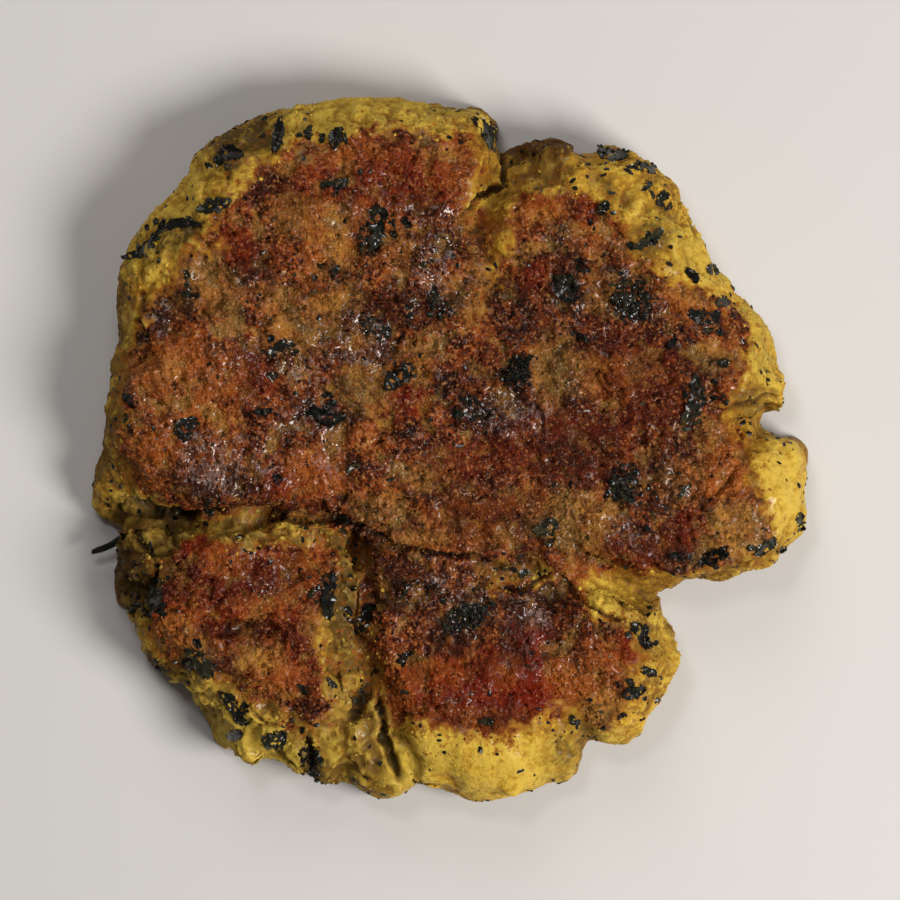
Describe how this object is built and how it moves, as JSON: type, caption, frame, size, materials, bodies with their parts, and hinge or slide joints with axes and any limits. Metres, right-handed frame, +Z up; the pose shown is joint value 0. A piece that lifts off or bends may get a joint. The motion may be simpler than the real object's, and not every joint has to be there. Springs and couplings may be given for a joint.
{
  "type": "potato cake",
  "caption": "Pan-fried potato cake: a lobed, flat patty of herbed mash, browned on both flat faces, with a soft crumbly rim.",
  "frame": {"origin": "on the plate, under the middle of the cake's length and width, at the level of the flat underside", "axes": "+Z up through the cake's thickness, from the underside to the fried top; +X and +Y lie in the plate"},
  "size_m": [0.1312, 0.129, 0.0207],
  "materials": {
    "fried_mash": "satin"
  },
  "bodies": {
    "root": {"potato_cake": "fried_mash"}
  },
  "joints": []
}
